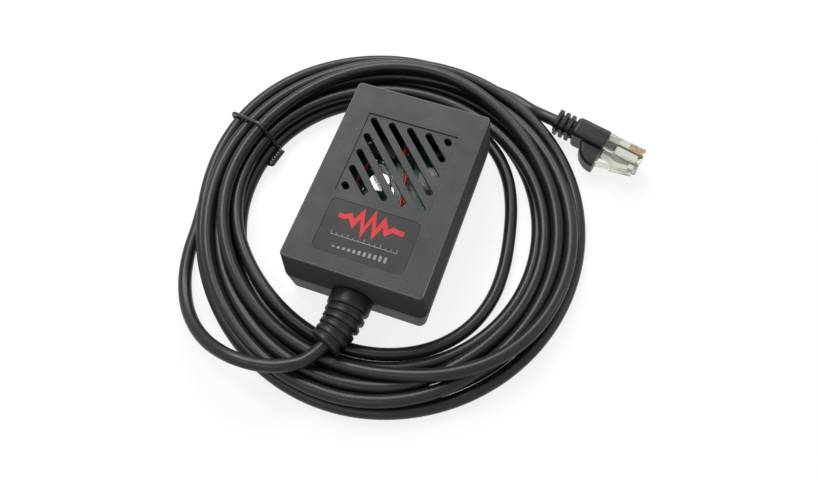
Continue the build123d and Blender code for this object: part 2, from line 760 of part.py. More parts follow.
# Clear modular plug: one moulding with its contact slots, wire channel, sheath pocket and latch.
latch_face = plug_thickness / 2
contact_places = [
    (-contact_from_nose - contact_length / 2, (number - (contact_count - 1) / 2) * contact_pitch)
    for number in range(contact_count)
]
contact_depth = plug_thickness / 2 + lead_wire_level - lead_wire_diameter / 2
channel_width = (contact_count - 1) * contact_pitch + lead_wire_diameter
with BuildPart() as plug_body:
    with BuildSketch(plug_flat.offset(-plug_thickness / 2)):
        with Locations((-plug_length / 2, 0)):
            Rectangle(plug_length, plug_width)
    extrude(amount=plug_thickness)
    chamfer(plug_body.edges(), plug_edge)
    with BuildSketch(plug_middle):
        with BuildLine():
            Polyline(
                (-latch_root, latch_face - plug_edge),
                (-latch_root, latch_face + latch_gap + latch_thickness),
                (-latch_length, latch_face + latch_lift + latch_thickness),
                (-latch_length, latch_face + latch_lift),
                (-latch_root - latch_root_length, latch_face + latch_gap),
                (-latch_root - latch_root_length, latch_face - plug_edge),
                close=True,
            )
        make_face()
        with Locations((-latch_shoulder - plug_length / 2, latch_face + latch_lift)):
            Rectangle(plug_length, 4 * latch_lift, mode=Mode.SUBTRACT)
    extrude(amount=latch_front_width / 2, both=True)
    with BuildSketch(plug_middle):
        with BuildLine():
            Polyline(
                (-latch_root, latch_face + latch_gap + latch_thickness),
                (-latch_length, latch_face + latch_lift + latch_thickness),
                (-latch_length, latch_face + latch_lift),
                (-latch_root - latch_root_length, latch_face + latch_gap),
                close=True,
            )
        make_face()
    extrude(amount=latch_tail_width / 2, both=True)
    with BuildSketch(plug_across(sheath_from_nose)):
        Rectangle(sheath_pocket_width, sheath_pocket_height)
    extrude(amount=plug_length - sheath_from_nose, mode=Mode.SUBTRACT)
    with BuildSketch(plug_across(lead_wire_from_nose)):
        with Locations((0, -lead_wire_level)):
            Rectangle(channel_width, lead_wire_diameter)
    extrude(amount=sheath_from_nose - lead_wire_from_nose, mode=Mode.SUBTRACT)
    with BuildSketch(plug_flat.offset(-plug_thickness / 2)):
        with Locations(*contact_places):
            Rectangle(contact_length, contact_thickness)
    extrude(amount=contact_depth, mode=Mode.SUBTRACT)
    with BuildSketch(plug_flat.offset(-plug_thickness / 2)):
        with Locations((-crimp_from_nose - crimp_length / 2, 0)):
            Rectangle(crimp_length, crimp_width)
    extrude(amount=crimp_depth, mode=Mode.SUBTRACT)
plug_body.part.label = "plug_body"
export_step(plug_body.part, "parts/plug_body.step")

# Eight gold-plated blades in the plug's slots.
with BuildPart() as plug_contacts:
    with BuildSketch(plug_flat.offset(contact_recess - plug_thickness / 2)):
        with Locations(*contact_places):
            Rectangle(contact_length, contact_thickness)
    extrude(amount=contact_depth - contact_recess)
plug_contacts.part.label = "plug_contacts"
export_step(plug_contacts.part, "parts/plug_contacts.step")

# Eight insulated leads from the sheath's end to the blades.
with BuildPart() as plug_leads:
    with BuildSketch(plug_across(lead_wire_from_nose)):
        for _, across in contact_places:
            with Locations((across, -lead_wire_level)):
                Circle(lead_wire_diameter / 2)
    extrude(amount=sheath_from_nose - lead_wire_from_nose)
plug_leads.part.label = "plug_leads"
export_step(plug_leads.part, "parts/plug_leads.step")

# The cable's jacket inside the boot and the plug.
with BuildPart() as plug_sheath:
    with BuildSketch(plug_across(sheath_from_nose)):
        Circle(cable_radius)
    extrude(amount=plug_total - sheath_from_nose)
plug_sheath.part.label = "plug_sheath"
export_step(plug_sheath.part, "parts/plug_sheath.step")

# Moulded boot on the plug: a sleeve over its back, three flanges that let the cable bend, and a
# hump that guards the latch's tail.
hump_foot = plug_boot_height / 2
hump_root = hump_foot - plug_boot_wall
hump_front = -plug_boot_from_nose
hump_back = hump_front - hump_length
hump_crown = (hump_front - hump_crown_back, hump_foot + hump_rise)
latch_tail_level = latch_face + latch_lift + latch_thickness / 2
with BuildPart() as plug_boot:
    with BuildSketch(plug_middle):
        with BuildLine():
            brow = Line((hump_front, hump_root), (hump_front, hump_foot + hump_nose_height))
            dome = ThreePointArc(brow @ 1, hump_crown, (hump_back, hump_root))
            Line(dome @ 1, brow @ 0)
        make_face()
    extrude(amount=hump_width / 2, both=True)
    fillet(plug_boot.edges().filter_by(GeomType.CIRCLE), hump_round)
    with BuildSketch(plug_across(plug_boot_from_nose)):
        RectangleRounded(plug_boot_width, plug_boot_height, plug_boot_round)
    extrude(amount=plug_boot_body)
    boot_back = plug_boot.faces().sort_by(Axis(nose, plug_way * -1))[-1]
    fillet(boot_back.edges(), plug_boot_end_round)
    with BuildSketch(plug_across(plug_boot_from_nose + plug_boot_body)):
        Circle(plug_boot_core_diameter / 2)
    extrude(amount=plug_flanges_length)
    for number in range(plug_flange_count):
        gap_end = plug_total - number * plug_flange_pitch
        with BuildSketch(plug_across(gap_end - plug_flange_thickness)):
            RectangleRounded(plug_flange_width, plug_flange_height, plug_flange_round)
        extrude(amount=plug_flange_thickness)
    with BuildSketch(plug_across(plug_boot_from_nose)):
        with Locations((0, -latch_tail_level)):
            Rectangle(latch_tail_width + 2 * latch_room, latch_thickness + 2 * latch_room)
    extrude(amount=latch_length - plug_boot_from_nose + latch_room, mode=Mode.SUBTRACT)
    with BuildSketch(plug_across(plug_boot_from_nose)):
        RectangleRounded(plug_width + 2 * plug_boot_fit, plug_thickness + 2 * plug_boot_fit, plug_edge)
    extrude(amount=plug_length - plug_boot_from_nose, mode=Mode.SUBTRACT)
    with BuildSketch(plug_across(plug_length)):
        Circle(cable_radius)
    extrude(amount=plug_total - plug_length, mode=Mode.SUBTRACT)
plug_boot.part.label = "plug_boot"
export_step(plug_boot.part, "parts/plug_boot.step")

for name, middle_line, points, tube in (
    ("cable_lead_in", lead_in_line, lead_in_points, cable_lead_in.part),
    ("cable_lead_out", lead_out_line, lead_out_points, cable_lead_out.part),
):
    length = sum(edge.length for edge in middle_line.edges())
    tube_length = tube.volume / (pi * cable_radius**2)
    print(name, "length", round(length, 1), "volume over section", round(tube_length, 1))
    print(name, "bend radii", [round(radius, 1) for radius in bend_radii(points)])
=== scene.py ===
import math

import bmesh
import bpy
import numpy as np
from mathutils import Matrix, Vector


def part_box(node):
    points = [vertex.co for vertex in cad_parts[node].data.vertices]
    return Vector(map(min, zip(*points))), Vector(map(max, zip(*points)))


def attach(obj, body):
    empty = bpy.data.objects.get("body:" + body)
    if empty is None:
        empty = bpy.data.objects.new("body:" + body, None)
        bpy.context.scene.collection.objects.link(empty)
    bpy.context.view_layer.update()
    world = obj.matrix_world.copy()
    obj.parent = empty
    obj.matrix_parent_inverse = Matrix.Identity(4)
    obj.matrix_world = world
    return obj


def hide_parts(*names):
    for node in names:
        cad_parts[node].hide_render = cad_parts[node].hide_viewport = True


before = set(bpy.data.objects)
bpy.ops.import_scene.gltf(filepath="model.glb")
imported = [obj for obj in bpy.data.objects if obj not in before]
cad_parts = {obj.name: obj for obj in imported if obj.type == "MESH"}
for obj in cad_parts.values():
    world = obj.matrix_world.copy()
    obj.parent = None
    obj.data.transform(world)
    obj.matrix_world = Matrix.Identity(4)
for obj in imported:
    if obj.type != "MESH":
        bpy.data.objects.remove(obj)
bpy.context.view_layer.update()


# Camera: the photograph's own view, from in front and above, turned a little about its axis,
# with the lens that gives the case the same perspective.
def bring_in(name, data):
    """A new object of the scene, at the origin."""
    made = bpy.data.objects.new(name, data)
    bpy.context.scene.collection.objects.link(made)
    return made


camera_place = Vector((0.05650, -0.11456, 0.24804))
camera_right = Vector((0.9403, 0.3387, -0.0322))
camera_up = Vector((-0.2930, 0.8542, 0.4296))
camera_back = camera_right.cross(camera_up)
camera = bring_in("camera", bpy.data.cameras.new("camera"))
camera.data.sensor_fit = "HORIZONTAL"
camera.data.sensor_width = 36.0
camera.data.lens = 32.84
camera.data.clip_start = 0.005
camera.matrix_world = Matrix((camera_right, camera_up, camera_back)).transposed().to_4x4()
camera.matrix_world.translation = camera_place
bpy.context.scene.camera = camera
bpy.context.scene.view_settings.view_transform = "Standard"


# Table: a white sheet that the sensor and its cable lie on, wide enough to meet the white room.
# It keeps a soft shadow under the case and the coil, and goes over into the room's white further out.
def add_node(tree, kind, sockets=None, **settings):
    """One shader or geometry node, with its settings and what is set on or linked to its sockets."""
    made = tree.nodes.new(kind)
    for key, value in settings.items():
        setattr(made, key, value)
    for key, value in (sockets or {}).items():
        if isinstance(value, bpy.types.NodeSocket):
            tree.links.new(value, made.inputs[key])
        else:
            made.inputs[key].default_value = value
    return made


def spread(tree, value, source=(0.0, 1.0), result=(0.0, 1.0)):
    """A value carried over from one range to another, and held at its ends."""
    ranges = {"From Min": source[0], "From Max": source[1], "To Min": result[0], "To Max": result[1]}
    return add_node(tree, "ShaderNodeMapRange", {"Value": value, **ranges}).outputs[0]


def seen_directly(tree):
    """1 for what the lens, a mirror or clear plastic sees, 0 for what only throws light."""
    path = add_node(tree, "ShaderNodeLightPath").outputs
    seen = path["Is Camera Ray"]
    for ray in ("Is Glossy Ray", "Is Transmission Ray"):
        seen = add_node(tree, "ShaderNodeMath", {0: seen, 1: path[ray]}, operation="MAXIMUM").outputs[0]
    return seen


table_half, table_drop = 3.0, 0.0001
white_near, fade_starts, fade_ends = 0.82, 0.13, 0.60
table_white = bpy.data.materials.new("table_white")
table_white.use_nodes = True
tree = table_white.node_tree
tree.nodes.remove(tree.nodes["Principled BSDF"])
sheet_paper = add_node(tree, "ShaderNodeBsdfDiffuse", {"Color": (0.94, 0.94, 0.94, 1)})
sheet_glow = add_node(tree, "ShaderNodeEmission", {"Color": (1, 1, 1, 1), "Strength": 1.0})
sheet_place = add_node(tree, "ShaderNodeTexCoord").outputs["Object"]
sheet_reach = add_node(tree, "ShaderNodeVectorMath", {0: sheet_place}, operation="LENGTH")
sheet_fade = spread(tree, sheet_reach.outputs["Value"], (fade_starts, fade_ends), (white_near, 1.0))
sheet_share = add_node(
    tree, "ShaderNodeMath", {0: seen_directly(tree), 1: sheet_fade}, operation="MULTIPLY"
)
sheet_mix = add_node(
    tree,
    "ShaderNodeMixShader",
    {0: sheet_share.outputs[0], 1: sheet_paper.outputs[0], 2: sheet_glow.outputs[0]},
)
tree.links.new(sheet_mix.outputs[0], tree.nodes["Material Output"].inputs["Surface"])
table_mesh = bpy.data.meshes.new("table")
table_corners = ((-1, -1), (1, -1), (1, 1), (-1, 1))
table_mesh.from_pydata(
    [(x * table_half, y * table_half, -table_drop) for x, y in table_corners], [], [(0, 1, 2, 3)]
)
table_mesh.materials.append(table_white)
table = bring_in("table", table_mesh)

# Light: a white room, a soft box high on the left that draws long lines of shine along the cable, a
# wide one behind that leaves the case's front in shade, a weak one low on the right, and a strip that
# catches the front edge.
room = bpy.data.worlds.new("room")
bpy.context.scene.world = room
room.use_nodes = True
tree = room.node_tree
room_light = tree.nodes["Background"]
room_light.inputs["Color"].default_value = (1, 1, 1, 1)
room_light.inputs["Strength"].default_value = 0.27
room_view = add_node(tree, "ShaderNodeBackground", {"Color": (1, 1, 1, 1), "Strength": 1.0})
room_mix = add_node(
    tree, "ShaderNodeMixShader", {0: seen_directly(tree), 1: room_light.outputs[0], 2: room_view.outputs[0]}
)
tree.links.new(room_mix.outputs[0], tree.nodes["World Output"].inputs["Surface"])
for name, place, aim, width, height, power in (
    ("soft_box_left", (-0.34, 0.27, 0.69), (0, 0, 0), 0.34, 0.34, 3.7),
    ("soft_box_back", (-0.12, 0.66, 0.62), (0, 0.03, 0), 0.70, 0.26, 5.0),
    ("soft_box_right", (0.75, 0.20, 0.40), (0, 0, 0.01), 0.20, 0.40, 0.7),
    ("strip_front", (-0.16, -0.40, 0.60), (0, -0.03, 0.02), 0.60, 0.05, 0.8),
):
    lamp = bpy.data.lights.new(name, "AREA")
    lamp.shape = "RECTANGLE"
    lamp.size, lamp.size_y, lamp.energy = width, height, power
    lamp_object = bring_in(name, lamp)
    lamp_object.location = place
    lamp_object.rotation_euler = (Vector(aim) - Vector(place)).to_track_quat("-Z", "Y").to_euler()


# Case: a base tray and a slotted cover, injection moulded in dark grey ABS with a fine spark-eroded
# grain that leaves the cover's walls dull. Handling has rubbed the rounded edges smooth, and painted
# shade darkens the creases and inner corners. Four screws hold the two halves together from below.
def new_material(name):
    """A material with its node tree and its surface shader."""
    made = bpy.data.materials.new(name)
    made.use_nodes = True
    return made, made.node_tree, made.node_tree.nodes["Principled BSDF"]


def speckle(tree, scale, detail, low, high):
    """Even noise in the piece's own space, spread between two values."""
    place = add_node(tree, "ShaderNodeTexCoord").outputs["Object"]
    noise = add_node(tree, "ShaderNodeTexNoise", {"Vector": place, "Scale": scale, "Detail": detail})
    return spread(tree, noise.outputs[0], source=(0.3, 0.7), result=(low, high))


def relief(tree, shader, height, strength, depth):
    """Fine relief on a surface, from a height between 0 and 1."""
    bump = add_node(tree, "ShaderNodeBump", {"Height": height, "Strength": strength, "Distance": depth})
    tree.links.new(bump.outputs[0], shader.inputs["Normal"])


def mixed_shade(tree, share, first, second):
    """A colour between two others."""
    return add_node(tree, "ShaderNodeMix", {0: share, 6: first, 7: second}, data_type="RGBA").outputs[2]


def ramp(tree, value, stops, change="LINEAR"):
    """The colour at value, from stops that each give a place and a colour."""
    made = add_node(tree, "ShaderNodeValToRGB", {0: value})
    made.color_ramp.interpolation = change
    given = made.color_ramp.elements
    for number, (place, colour) in enumerate(stops):
        stop = given[number] if number < 2 else given.new(place)
        stop.position = place
        stop.color = (*colour, 1)
    return made.outputs[0]


def moulded(name, dark, light, grain, depth, smooth, rough, blotch=70.0, shine=0.5):
    """Moulded plastic or rubber: two close shades in soft blotches, and a fine even grain."""
    made, tree, shader = new_material(name)
    blotches = speckle(tree, scale=blotch, detail=3.0, low=0.0, high=1.0)
    gloss = speckle(tree, scale=blotch * 2.3, detail=4.0, low=smooth, high=rough)
    pits = speckle(tree, scale=grain, detail=2.0, low=0.0, high=1.0)
    tree.links.new(mixed_shade(tree, blotches, (*dark, 1), (*light, 1)), shader.inputs["Base Color"])
    tree.links.new(gloss, shader.inputs["Roughness"])
    relief(tree, shader, pits, strength=0.6, depth=depth)
    shader.inputs["Specular IOR Level"].default_value = shine
    return made


def dress(material, *nodes):
    """A solid keeps its form and takes this material."""
    for node in nodes:
        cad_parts[node].material_slots[0].material = material


case_grey = moulded(
    "case_grey", dark=(0.023, 0.0246, 0.0239), light=(0.033, 0.0353, 0.0343),
    grain=2400, depth=0.00011, smooth=0.50, rough=0.60, shine=0.32,
)
tree = case_grey.node_tree
shader = tree.nodes["Principled BSDF"]
facing = add_node(tree, "ShaderNodeNewGeometry").outputs["Normal"]
upward = add_node(tree, "ShaderNodeSeparateXYZ", {0: facing}).outputs["Z"]
# How far a face turns up, with how dull it is as a wall and how rubbed as an edge.
wall_slopes = ((0.0, 0), (0.008, 0.88), (0.08, 0.88), (0.30, 0))
edge_slopes = ((0.15, 0), (0.40, 1), (0.95, 1), (0.99, 0))
wall_dull, edge_rub = (
    ramp(tree, upward, [(slope, (share, share, share)) for slope, share in slopes])
    for slopes in (wall_slopes, edge_slopes)
)
edge_smooth, edge_coat_rough = 0.26, 0.14
grain_rough = shader.inputs["Roughness"].links[0].from_socket
face_rough = add_node(tree, "ShaderNodeMath", {0: grain_rough, 1: wall_dull}, operation="MAXIMUM")
edge_rough = add_node(tree, "ShaderNodeMix", {0: edge_rub, 2: face_rough.outputs[0], 3: edge_smooth})
tree.links.new(edge_rough.outputs[0], shader.inputs["Roughness"])
tree.links.new(spread(tree, edge_rub), shader.inputs["Coat Weight"])
shader.inputs["Coat Roughness"].default_value = edge_coat_rough
# Painted shade: an ambient occlusion mask darkens the case's creases and inner corners towards near black.
crease_width, crease_painted_shade = 0.0009, (0.008, 0.0085, 0.0083, 1)
crease_full, crease_ends = 0.50, 0.92
crease = add_node(
    tree, "ShaderNodeAmbientOcclusion", {"Distance": crease_width}, samples=8, only_local=True
)
crease_unshaded = spread(tree, crease.outputs["AO"], source=(crease_full, crease_ends))
grain_shade = shader.inputs["Base Color"].links[0].from_socket
tree.links.new(mixed_shade(tree, crease_unshaded, crease_painted_shade, grain_shade), shader.inputs["Base Color"])
dress(case_grey, "base_shell", "top_cover")


# Screws: cold-headed steel with a thin coat of zinc. Four long ones sit in pockets in the underside
# and pull the cover down, and four short ones hold the board on the base's posts.
def bright_metal(name, colour, scale, detail, smooth, rough):
    """Bare or plated metal, a little duller in some places than in others."""
    made, tree, shader = new_material(name)
    shader.inputs["Base Color"].default_value = (*colour, 1)
    shader.inputs["Metallic"].default_value = 1.0
    tree.links.new(speckle(tree, scale, detail, smooth, rough), shader.inputs["Roughness"])
    return made


screw_zinc = bright_metal("screw_zinc", (0.60, 0.61, 0.63), scale=900, detail=4.0, smooth=0.22, rough=0.42)
dress(screw_zinc, "cover_screws", "board_screws")

# Circuit board: a cut sheet of glass-filled laminate with etched copper tracks under a green solder
# mask, where they show as paler lines with a slight step. It is screwed to four posts.
board_green, tree, shader = new_material("board_green")
board_place = add_node(tree, "ShaderNodeTexCoord").outputs["Object"]
tracks = add_node(
    tree,
    "ShaderNodeTexBrick",
    {
        "Vector": board_place,
        "Scale": 210.0,
        "Mortar Size": 0.035,
        "Color1": (0.006, 0.060, 0.026, 1),
        "Color2": (0.008, 0.074, 0.033, 1),
        "Mortar": (0.022, 0.140, 0.066, 1),
    },
)
tree.links.new(tracks.outputs["Color"], shader.inputs["Base Color"])
relief(tree, shader, tracks.outputs["Fac"], strength=0.4, depth=0.00006)
tree.links.new(speckle(tree, scale=300, detail=3.0, low=0.18, high=0.32), shader.inputs["Roughness"])
dress(board_green, "circuit_board")


# Solder joints: small bright domes of tin solder, run on by hand with an iron where the cores, the
# chip's legs and the resistors' leads meet the board.
def plain_mesh(piece):
    """The piece's evaluated form as its own mesh, with nothing left on its stack."""
    shape = bpy.data.meshes.new_from_object(piece.evaluated_get(bpy.context.evaluated_depsgraph_get()))
    piece.modifiers.clear()
    piece.data = shape


solder_tin = bright_metal("solder_tin", (0.66, 0.67, 0.68), scale=1400, detail=3.0, smooth=0.16, rough=0.36)
board_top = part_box("circuit_board")[1].z
# Middles on the board, in millimetres.
core_joints = [(-2.0, 22.5), (-12.5, 12.5), (6.0, 3.5), (-8.0, -8.5)]
chip_x, chip_y, leg_pitch, leg_out = -9.5, 20.0, 2.54, 3.8
leg_joints = [
    (chip_x + leg_pitch * column, chip_y + leg_out * row) for column in (-1, 0, 1) for row in (-1, 1)
]
resistor_middles, resistor_half = ((-17.0, 3.0), (8.5, -9.0), (8.5, -13.0)), 4.55
resistor_joints = [(x + resistor_half * side, y) for x, y in resistor_middles for side in (-1, 1)]
joint_places = core_joints + leg_joints + resistor_joints
joints_tree = bpy.data.node_groups.new("solder_joints", "GeometryNodeTree")
joint_sockets = joints_tree.interface
joint_sockets.new_socket("Places", in_out="INPUT", socket_type="NodeSocketGeometry")
joint_width = joint_sockets.new_socket("Joint Radius", in_out="INPUT", socket_type="NodeSocketFloat")
joint_rise = joint_sockets.new_socket("Joint Rise", in_out="INPUT", socket_type="NodeSocketFloat")
joint_sockets.new_socket("Joints", in_out="OUTPUT", socket_type="NodeSocketGeometry")
joints_in = joints_tree.nodes.new("NodeGroupInput").outputs
joints_size = add_node(
    joints_tree,
    "ShaderNodeCombineXYZ",
    {0: joints_in["Joint Radius"], 1: joints_in["Joint Radius"], 2: joints_in["Joint Rise"]},
)
joints_dome = add_node(joints_tree, "GeometryNodeMeshUVSphere", {"Segments": 16, "Rings": 8, "Radius": 1.0})
joints_set = add_node(
    joints_tree,
    "GeometryNodeInstanceOnPoints",
    {"Points": joints_in["Places"], "Instance": joints_dome.outputs[0], "Scale": joints_size.outputs[0]},
)
joints_real = add_node(joints_tree, "GeometryNodeRealizeInstances", {0: joints_set.outputs[0]})
joints_smooth = add_node(joints_tree, "GeometryNodeSetShadeSmooth", {"Geometry": joints_real.outputs[0]})
joints_dressed = add_node(
    joints_tree, "GeometryNodeSetMaterial", {"Geometry": joints_smooth.outputs[0], "Material": solder_tin}
)
joints_tree.links.new(joints_dressed.outputs[0], joints_tree.nodes.new("NodeGroupOutput").inputs[0])
joints_mesh = bpy.data.meshes.new("solder_joints")
joints_mesh.from_pydata([(x / 1000, y / 1000, board_top) for x, y in joint_places], [], [])
solder_joints = bring_in("solder_joints", joints_mesh)
joints_rule = solder_joints.modifiers.new("joints", "NODES")
joints_rule.node_group = joints_tree
joint_radius, joint_height = 0.00095, 0.00055
joints_rule[joint_width.identifier] = joint_radius
joints_rule[joint_rise.identifier] = joint_height
plain_mesh(solder_joints)
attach(solder_joints, "root")

# Vibration switch: a bright can of deep-drawn steel, with fine lines round it from the drawing and a
# rim where it is crimped to its foot. It stands on the board, soldered by its pins.
can_steel, tree, shader = new_material("can_steel")
shader.inputs["Base Color"].default_value = (0.80, 0.81, 0.82, 1)
shader.inputs["Metallic"].default_value = 1.0
can_place = add_node(tree, "ShaderNodeTexCoord").outputs["Object"]
can_stretch = add_node(tree, "ShaderNodeMapping", {"Vector": can_place, "Scale": (120, 120, 5200)})
can_lines = add_node(
    tree, "ShaderNodeTexNoise", {"Vector": can_stretch.outputs[0], "Scale": 1.0, "Detail": 3.0}
)
tree.links.new(spread(tree, can_lines.outputs[0], result=(0.14, 0.34)), shader.inputs["Roughness"])
dress(can_steel, "vibration_switch")

# Small parts on the board: a capacitor in a shrunk dark blue sleeve, a comparator chip moulded in black
# epoxy, and resistors dipped in tan lacquer. All are soldered by their leads.
capacitor_blue = moulded(
    "capacitor_blue", dark=(0.010, 0.013, 0.035), light=(0.016, 0.020, 0.050),
    grain=1500, depth=0.00001, smooth=0.22, rough=0.32,
)
chip_black = moulded(
    "chip_black", dark=(0.012, 0.012, 0.013), light=(0.018, 0.018, 0.019),
    grain=4200, depth=0.00002, smooth=0.50, rough=0.62,
)
resistor_tan = moulded(
    "resistor_tan", dark=(0.40, 0.29, 0.15), light=(0.48, 0.36, 0.20),
    grain=1800, depth=0.00001, smooth=0.28, rough=0.40,
)
dress(capacitor_blue, "filter_capacitor")
dress(chip_black, "logic_chip")
dress(resistor_tan, "resistors")

# Hot-melt glue: a milky bead of soft resin, pressed from a glue gun onto the board and wavy where it
# was drawn off. It keeps the cores and joints still.
glue_milk, tree, shader = new_material("glue_milk")
shader.inputs["Base Color"].default_value = (0.74, 0.74, 0.68, 1)
shader.inputs["Transmission Weight"].default_value = 0.45
shader.inputs["IOR"].default_value = 1.48
tree.links.new(speckle(tree, scale=420, detail=3.0, low=0.12, high=0.34), shader.inputs["Roughness"])
glue_waves = speckle(tree, scale=520, detail=4.0, low=0.0, high=1.0)
relief(tree, shader, glue_waves, strength=0.9, depth=0.0006)
dress(glue_milk, "glue_bead")

# Cores of the cable: copper strands in soft extruded PVC, two red, one orange and one black. They
# come in through the strain relief, loop over the board and are soldered to it.
for node, name, dark, light in (
    ("red_wires", "core_red", (0.42, 0.012, 0.010), (0.50, 0.018, 0.014)),
    ("orange_wire", "core_orange", (0.62, 0.140, 0.012), (0.70, 0.170, 0.020)),
    ("black_wire", "core_black", (0.012, 0.012, 0.012), (0.018, 0.018, 0.018)),
):
    dress(moulded(name, dark, light, grain=2600, depth=0.00001, smooth=0.30, rough=0.42), node)

# Label: a die-cut polyester film with a satin face, a shade greener than the case, stuck in the
# sunk place on the cover.
label_film = moulded(
    "label_film", dark=(0.023, 0.0260, 0.0250), light=(0.027, 0.0305, 0.0295),
    grain=2800, depth=0.00001, smooth=0.52, rough=0.60, shine=0.22,
)
dress(label_film, "label_plate")


# Print on the label: a plain trace of a vibration over a thin scale and a row of level bars, screen
# printed in red and grey ink.
def ribbon(points, width, low, high):
    """A flat printed line of even width along points, mitred at its corners, in metres."""
    mitre_limit = 0.4
    way = [Vector(p) for p in points]
    left, right = [], []
    for number, here in enumerate(way):
        before = way[max(number - 1, 0)]
        after = way[min(number + 1, len(way) - 1)]
        first = (here - before).normalized() if number else (after - here).normalized()
        second = (after - here).normalized() if number < len(way) - 1 else first
        along = (first + second).normalized()
        across = Vector((-along.y, along.x)) * (width / 2 / max(along.dot(first), mitre_limit))
        left.append(here + across)
        right.append(here - across)
    ring = left + right[::-1]
    count = len(ring)
    corners = [(p.x, p.y, low) for p in ring] + [(p.x, p.y, high) for p in ring]
    quads = [(n, n + 1, count - n - 2, count - n - 1) for n in range(len(way) - 1)]
    faces = [face[::-1] for face in quads] + [tuple(n + count for n in face) for face in quads]
    faces += [(n, (n + 1) % count, (n + 1) % count + count, n + count) for n in range(count)]
    return corners, faces


def printed(name, lines, ink):
    """Several printed lines as one piece on the label."""
    shape = bmesh.new()
    for points, width in lines:
        corners, faces = ribbon(points, width, print_low, print_high)
        made = [shape.verts.new(corner) for corner in corners]
        for face in faces:
            shape.faces.new([made[n] for n in face])
    bmesh.ops.recalc_face_normals(shape, faces=shape.faces)
    mesh = bpy.data.meshes.new(name)
    shape.to_mesh(mesh)
    shape.free()
    mesh.materials.append(ink)
    piece = bring_in(name, mesh)
    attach(piece, "root")


label_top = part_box("label_plate")[1].z
ink_sunk, ink_proud = 0.00002, 0.00003
print_low, print_high = label_top - ink_sunk, label_top + ink_proud
ink_red = moulded(
    "ink_red", dark=(0.50, 0.020, 0.024), light=(0.58, 0.028, 0.032),
    grain=2400, depth=0.000004, smooth=0.50, rough=0.60, shine=0.22,
)
ink_grey = moulded(
    "ink_grey", dark=(0.17, 0.18, 0.18), light=(0.22, 0.23, 0.23),
    grain=2400, depth=0.000004, smooth=0.50, rough=0.60,
)
trace_y, trace_half, trace_reach, trace_width = -0.0168, 0.0116, 0.0038, 0.0017
swings = (0.0, 0.0, 0.25, -0.45, 0.80, -1.0, 1.0, -0.85, 0.60, -0.35, 0.15, 0.0, 0.0)
trace_step = 2 * trace_half / (len(swings) - 1)
trace = [(n * trace_step - trace_half, trace_y + swing * trace_reach) for n, swing in enumerate(swings)]
printed("label_trace", [(trace, trace_width)], ink_red)
scale_y, scale_half, scale_line = -0.0240, 0.0115, 0.00022
tick_gaps, long_tick, short_tick, long_every = 12, 0.0014, 0.0008, 3
ticks = [([(-scale_half, scale_y), (scale_half, scale_y)], scale_line)]
for n in range(tick_gaps + 1):
    tick_x = -scale_half + n * scale_half / (tick_gaps / 2)
    tick = short_tick if n % long_every else long_tick
    ticks.append(([(tick_x, scale_y), (tick_x, scale_y + tick)], scale_line))
printed("label_scale", ticks, ink_grey)
bars_y, bar_count, bar_step, bar_width = -0.0284, 11, 0.0018, 0.0009
least_bar, bar_growth = 0.0006, 0.00015
bars = []
for n in range(bar_count):
    bar_x = (n - (bar_count - 1) / 2) * bar_step
    bars.append(([(bar_x, bars_y), (bar_x, bars_y + least_bar + bar_growth * n)], bar_width))
printed("label_bars", bars, ink_grey)

# Strain relief: soft black PVC moulded round the cable, with ribs that let it bend and a flange that
# the two halves of the case grip. The plug's boot is of the same PVC, and the cable's jacket goes on
# inside both.
boot_black = moulded(
    "boot_black", dark=(0.005, 0.0053, 0.0055), light=(0.008, 0.0084, 0.0086),
    grain=2400, depth=0.00003, smooth=0.36, rough=0.46, shine=0.30,
)
jacket_black = moulded(
    "jacket_black", dark=(0.009, 0.0092, 0.0092), light=(0.014, 0.0143, 0.0143),
    grain=1900, depth=0.00001, smooth=0.27, rough=0.37, blotch=110.0, shine=0.29,
)
dress(boot_black, "cable_boot", "plug_boot")
dress(jacket_black, "cable_tail", "plug_sheath")


# Cable: round black PVC extruded over its cores. It goes from the strain relief over the front of the
# coil, is laid by hand in eight and a third loose turns that press, ride over and cross each other,
# and leaves at the back for the plug.
def wire(name, way, across, material, steps, roundness, closed=False):
    """A round wire on one smooth NURBS line, with the points of its way as control points."""
    curve = bpy.data.curves.new(name, "CURVE")
    curve.dimensions = "3D"
    curve.resolution_u = steps
    curve.bevel_depth = across / 2
    curve.bevel_resolution = roundness
    curve.materials.append(material)
    line = curve.splines.new("NURBS")
    line.points.add(len(way) - 1)
    for point, place in zip(line.points, way):
        point.co = (*place, 1)
    line.order_u = 3
    line.use_cyclic_u = closed
    line.use_endpoint_u = not closed
    return bring_in(name, curve)


gauge = 0.0047
strain_tip = (-0.002608, -0.056215, 0.0115)
lead_in = [
    strain_tip,
    (-0.005230, -0.062705, 0.0115),
    (-0.0120, -0.0676, 0.0125),
    (-0.0208, -0.0703, 0.0125),
    (-0.0315, -0.0706, 0.0123),
    (-0.0435, -0.0672, 0.0086),
    (-0.0545, -0.0593, 0.0044),
    (-0.0620, -0.0483, 0.0025),
    (-0.0656, -0.0370, 0.0024),
    (-0.0669, -0.0275, 0.0024),
]
lead_out = [
    (0.0174, 0.0659, 0.0024),
    (0.0272, 0.0648, 0.0024),
    (0.0355, 0.0611, 0.0032),
    (0.0412, 0.05785, 0.0063),
    (0.046564, 0.056447, 0.0068),
]
coil_x, coil_y = -0.0018, -0.0021
coil_start = math.radians(190)
